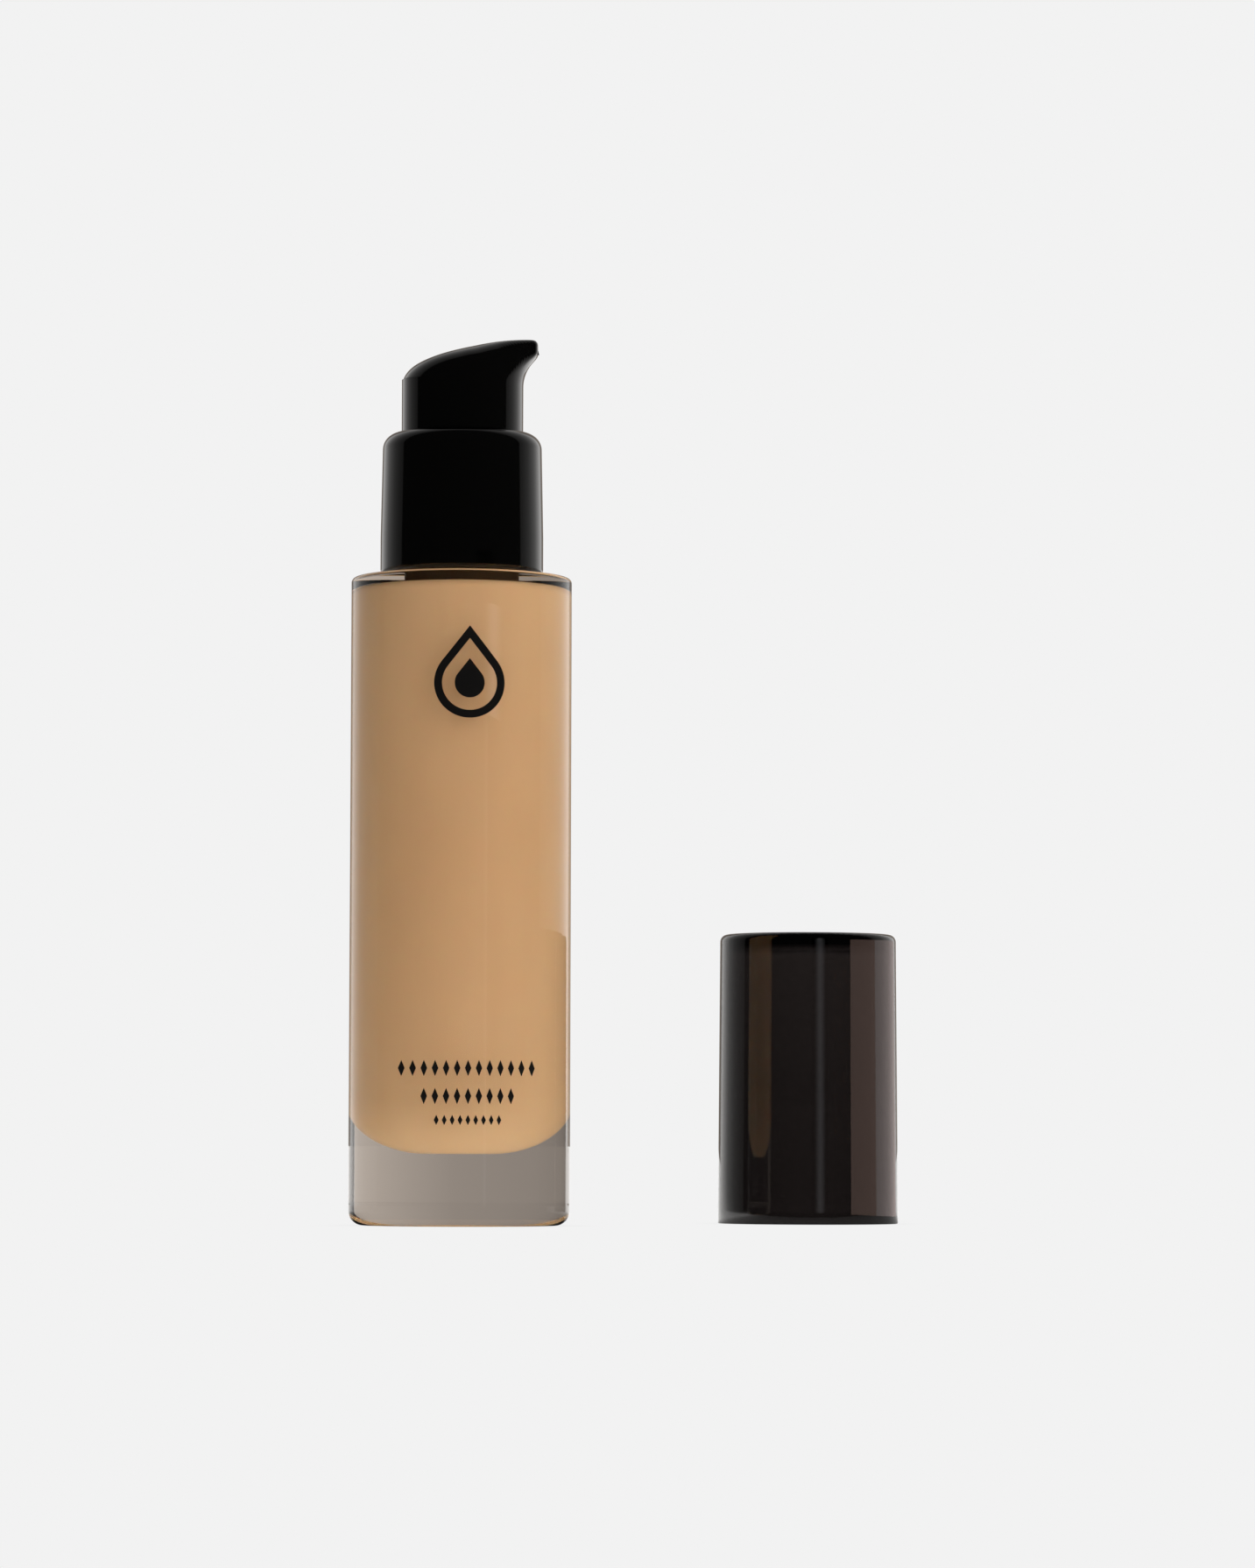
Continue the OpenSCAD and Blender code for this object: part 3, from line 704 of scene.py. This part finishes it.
def make_world():
    """The camera sees a pale grey; the pieces see a dark room in front and a bright backdrop behind."""
    world = bpy.data.worlds.new("studio")
    bpy.context.scene.world = world
    world.use_nodes = True
    tree = world.node_tree
    tree.nodes.clear()
    out = tree.nodes.new("ShaderNodeOutputWorld")
    seen = tree.nodes.new("ShaderNodeBackground")
    seen.inputs["Color"].default_value = (*PALE, 1)
    room = tree.nodes.new("ShaderNodeBackground")
    place = tree.nodes.new("ShaderNodeTexCoord")
    split = tree.nodes.new("ShaderNodeSeparateXYZ")
    tree.links.new(place.outputs["Generated"], split.inputs["Vector"])
    x, y, z = (split.outputs[axis] for axis in "XYZ")
    backdrop = backdrop_glow(tree, x, y)
    flat = math_node(tree, "SQRT", math_node(tree, "SUBTRACT", 1.0, math_node(tree, "MULTIPLY", z, z)))
    aim = math_node(tree, "DIVIDE", y, math_node(tree, "MAXIMUM", flat, 0.01))
    behind = math_node(tree, "SUBTRACT", 1.0, faded(tree, aim, *BEHIND))
    reflected = math_node(tree, "MULTIPLY", behind, faded(tree, z, 0.5, 0.75))
    through = math_node(tree, "SUBTRACT", 1.0, faded(tree, y, 0.0, 0.12))
    glow = low_glow(tree, x)
    polished = mixed(tree, is_reflection(tree), mixed(tree, through, backdrop, glow),
                     mixed(tree, reflected, backdrop, glow))
    light = mixed(tree, is_matt_ray(tree), polished, sloped(tree, x, SOFT_LIGHT, SOFT_SLOPE))
    tree.links.new(light, room.inputs["Color"])
    camera_switch(tree, room, seen, out)


def flat_stage(name, size):
    """A flat square of the stage with an empty material: the piece, its node tree and its output node."""
    bm = bmesh.new()
    bmesh.ops.create_grid(bm, x_segments=1, y_segments=1, size=size)
    mesh = bpy.data.meshes.new(name)
    bm.to_mesh(mesh)
    bm.free()
    piece = bpy.data.objects.new(name, mesh)
    bpy.context.scene.collection.objects.link(piece)
    material = bpy.data.materials.new(name)
    material.use_nodes = True
    tree = material.node_tree
    tree.nodes.clear()
    mesh.materials.append(material)
    return piece, tree, tree.nodes.new("ShaderNodeOutputMaterial")


def make_floor():
    """A pale table that glows evenly, with a soft contact shadow; the pieces see a warm mid grey."""
    floor, tree, out = flat_stage("floor", 40.0)
    floor.location = (0, 0, -0.02 * MM)
    seen = tree.nodes.new("ShaderNodeEmission")
    room = tree.nodes.new("ShaderNodeEmission")
    place = tree.nodes.new("ShaderNodeNewGeometry")
    unit = tree.nodes.new("ShaderNodeVectorMath")
    unit.operation = "NORMALIZE"
    split = tree.nodes.new("ShaderNodeSeparateXYZ")
    tree.links.new(place.outputs["Position"], unit.inputs[0])
    tree.links.new(unit.outputs["Vector"], split.inputs["Vector"])
    away = tree.nodes.new("ShaderNodeVectorMath")
    away.operation = "LENGTH"
    tree.links.new(place.outputs["Position"], away.inputs[0])
    x, y = split.outputs["X"], split.outputs["Y"]
    polished = mixed(tree, is_reflection(tree), low_glow(tree, x), backdrop_glow(tree, x, y))
    near = faded(tree, away.outputs["Value"], *NEAR_TABLE)
    lit = mixed(tree, near, sloped(tree, x, SOFT_FAR, SOFT_SLOPE), SOFT_NEAR)
    tree.links.new(mixed(tree, is_matt_ray(tree), polished, lit), room.inputs["Color"])
    # Painted shadow: the floor's glow is darkened by ambient occlusion near the pieces, in place of a
    # cast shadow
    shade = tree.nodes.new("ShaderNodeAmbientOcclusion")
    shade.inputs["Distance"].default_value = 6 * MM
    shade.samples = 16
    contact = tuple(0.93 * c for c in PALE)
    tree.links.new(mixed(tree, shade.outputs["AO"], contact, PALE), seen.inputs["Color"])
    camera_switch(tree, room, seen, out)


def card(name, centre, facing, width, height, colour, shown_in, falloff=False):
    """A glowing card that only shows in the reflections of some pieces.

    centre and facing are points in millimetres, width and height are in millimetres too. With a falloff
    the card fades towards its upright edges.
    """
    piece, tree, out = flat_stage(name, 0.5)
    centre, facing = Vector(centre) * MM, Vector(facing) * MM
    piece.location = centre
    piece.rotation_euler = (facing - centre).normalized().to_track_quat("Z", "Y").to_euler()
    piece.scale = (width * MM, height * MM, 1)
    glow = tree.nodes.new("ShaderNodeEmission")
    glow.inputs["Color"].default_value = (*colour, 1)
    if falloff:
        place = tree.nodes.new("ShaderNodeTexCoord")
        split = tree.nodes.new("ShaderNodeSeparateXYZ")
        tree.links.new(place.outputs["Object"], split.inputs["Vector"])
        off = math_node(tree, "ABSOLUTE", split.outputs["X"])
        tree.links.new(faded(tree, off, 0.0, 0.5), glow.inputs["Strength"])
    tree.links.new(glow.outputs["Emission"], out.inputs["Surface"])
    piece.visible_camera = piece.visible_diffuse = False
    piece.visible_transmission = piece.visible_shadow = False
    receivers = bpy.data.collections.new(name + "_receivers")
    for receiver in shown_in:
        receivers.objects.link(receiver)
    piece.light_linking.receiver_collection = receivers


def softbox(name, azimuth, elevation, distance, width, height, radiance, colour):
    """An area light aimed at the bottle's middle. Azimuth 0 is the camera's side, 90 the beak's."""
    light = bpy.data.lights.new(name, "AREA")
    light.shape = "RECTANGLE"
    light.size, light.size_y = width, height
    light.color = colour
    light.energy = radiance * math.pi * width * height
    lamp = bpy.data.objects.new(name, light)
    a, e = math.radians(azimuth), math.radians(elevation)
    way = Vector((math.sin(a) * math.cos(e), -math.cos(a) * math.cos(e), math.sin(e)))
    middle = Vector((0, 0, 55 * MM))
    lamp.location = middle + way * distance
    lamp.rotation_euler = way.to_track_quat("Z", "Y").to_euler()
    lamp.visible_glossy = False
    lamp.visible_camera = False
    bpy.context.scene.collection.objects.link(lamp)
    light.use_nodes = True
    tree = light.node_tree
    tree.links.new(is_matt_ray(tree), tree.nodes["Emission"].inputs["Strength"])


def make_camera():
    """A long lens, low in front of the bottle and pitched up a little."""
    pitch, roll = math.radians(90 + 3.631), math.radians(0.15)
    data = bpy.data.cameras.new("camera")
    camera = bpy.data.objects.new("camera", data)
    data.sensor_width = 36
    data.lens = 130.65
    data.clip_start, data.clip_end = 0.01, 100
    camera.location = (24.93 * MM, -0.850, 12 * MM)
    aim = Euler((pitch, 0, 0)).to_matrix() @ Matrix.Rotation(roll, 3, "Z")
    camera.rotation_euler = aim.to_euler()
    bpy.context.scene.collection.objects.link(camera)
    bpy.context.scene.camera = camera


# What the camera sees of the table and backdrop
PALE = (0.888, 0.888, 0.888)
# Table and backdrop as seen through glass, and how they grow to the right and to both sides
TABLE_GLOW = (0.305, 0.264, 0.232)
GLOW_SLOPE, GLOW_BEND = 0.5, 0.3
# How far behind the pieces a direction points, and how bright the room is there in a reflection
BACKDROP = [(0.035, 0.02), (0.07, 0.16), (0.17, 0.20), (0.37, 0.33), (0.60, 0.60), (0.85, 1.20)]
BACKDROP_SLOPE = 0.15
# Between these a level direction, by how far it points backwards, starts to count as straight behind
BEHIND = (0.88, 0.95)
# Light on matt surfaces: from the room, from the table far off and from the table near by
SOFT_LIGHT, SOFT_FAR, SOFT_NEAR = (0.93, 0.92, 0.91), (0.84, 0.83, 0.82), (1.42, 1.45, 1.50)
SOFT_SLOPE = 0.80
# How far from the origin the near table ends and the far one begins
NEAR_TABLE = (0.10, 0.36)

make_world()
make_floor()
make_camera()
softbox("key", 20, 7, 0.60, 0.12, 0.12, 28.0, (1.0, 0.985, 0.96))
card("bottle_strip", (88, -132, 50), (20, 15, 50), 60, 110, (1.0, 0.97, 0.94), [shell], True)
card("cap_strip", (90, -126, 25), (53, 30, 25), 44, 120, (0.42, 0.42, 0.44), [overcap], True)
card("cap_warm", (95, 8.6, 21), (53, 8.6, 21), 31.4, 52, (0.86, 0.59, 0.50), [overcap])
card("cap_bright", (91.8, 45.7, 21), (52.9, 39, 21), 43.2, 52, (1.2, 1.02, 0.98), [overcap])

bpy.context.scene.view_settings.view_transform = "Standard"
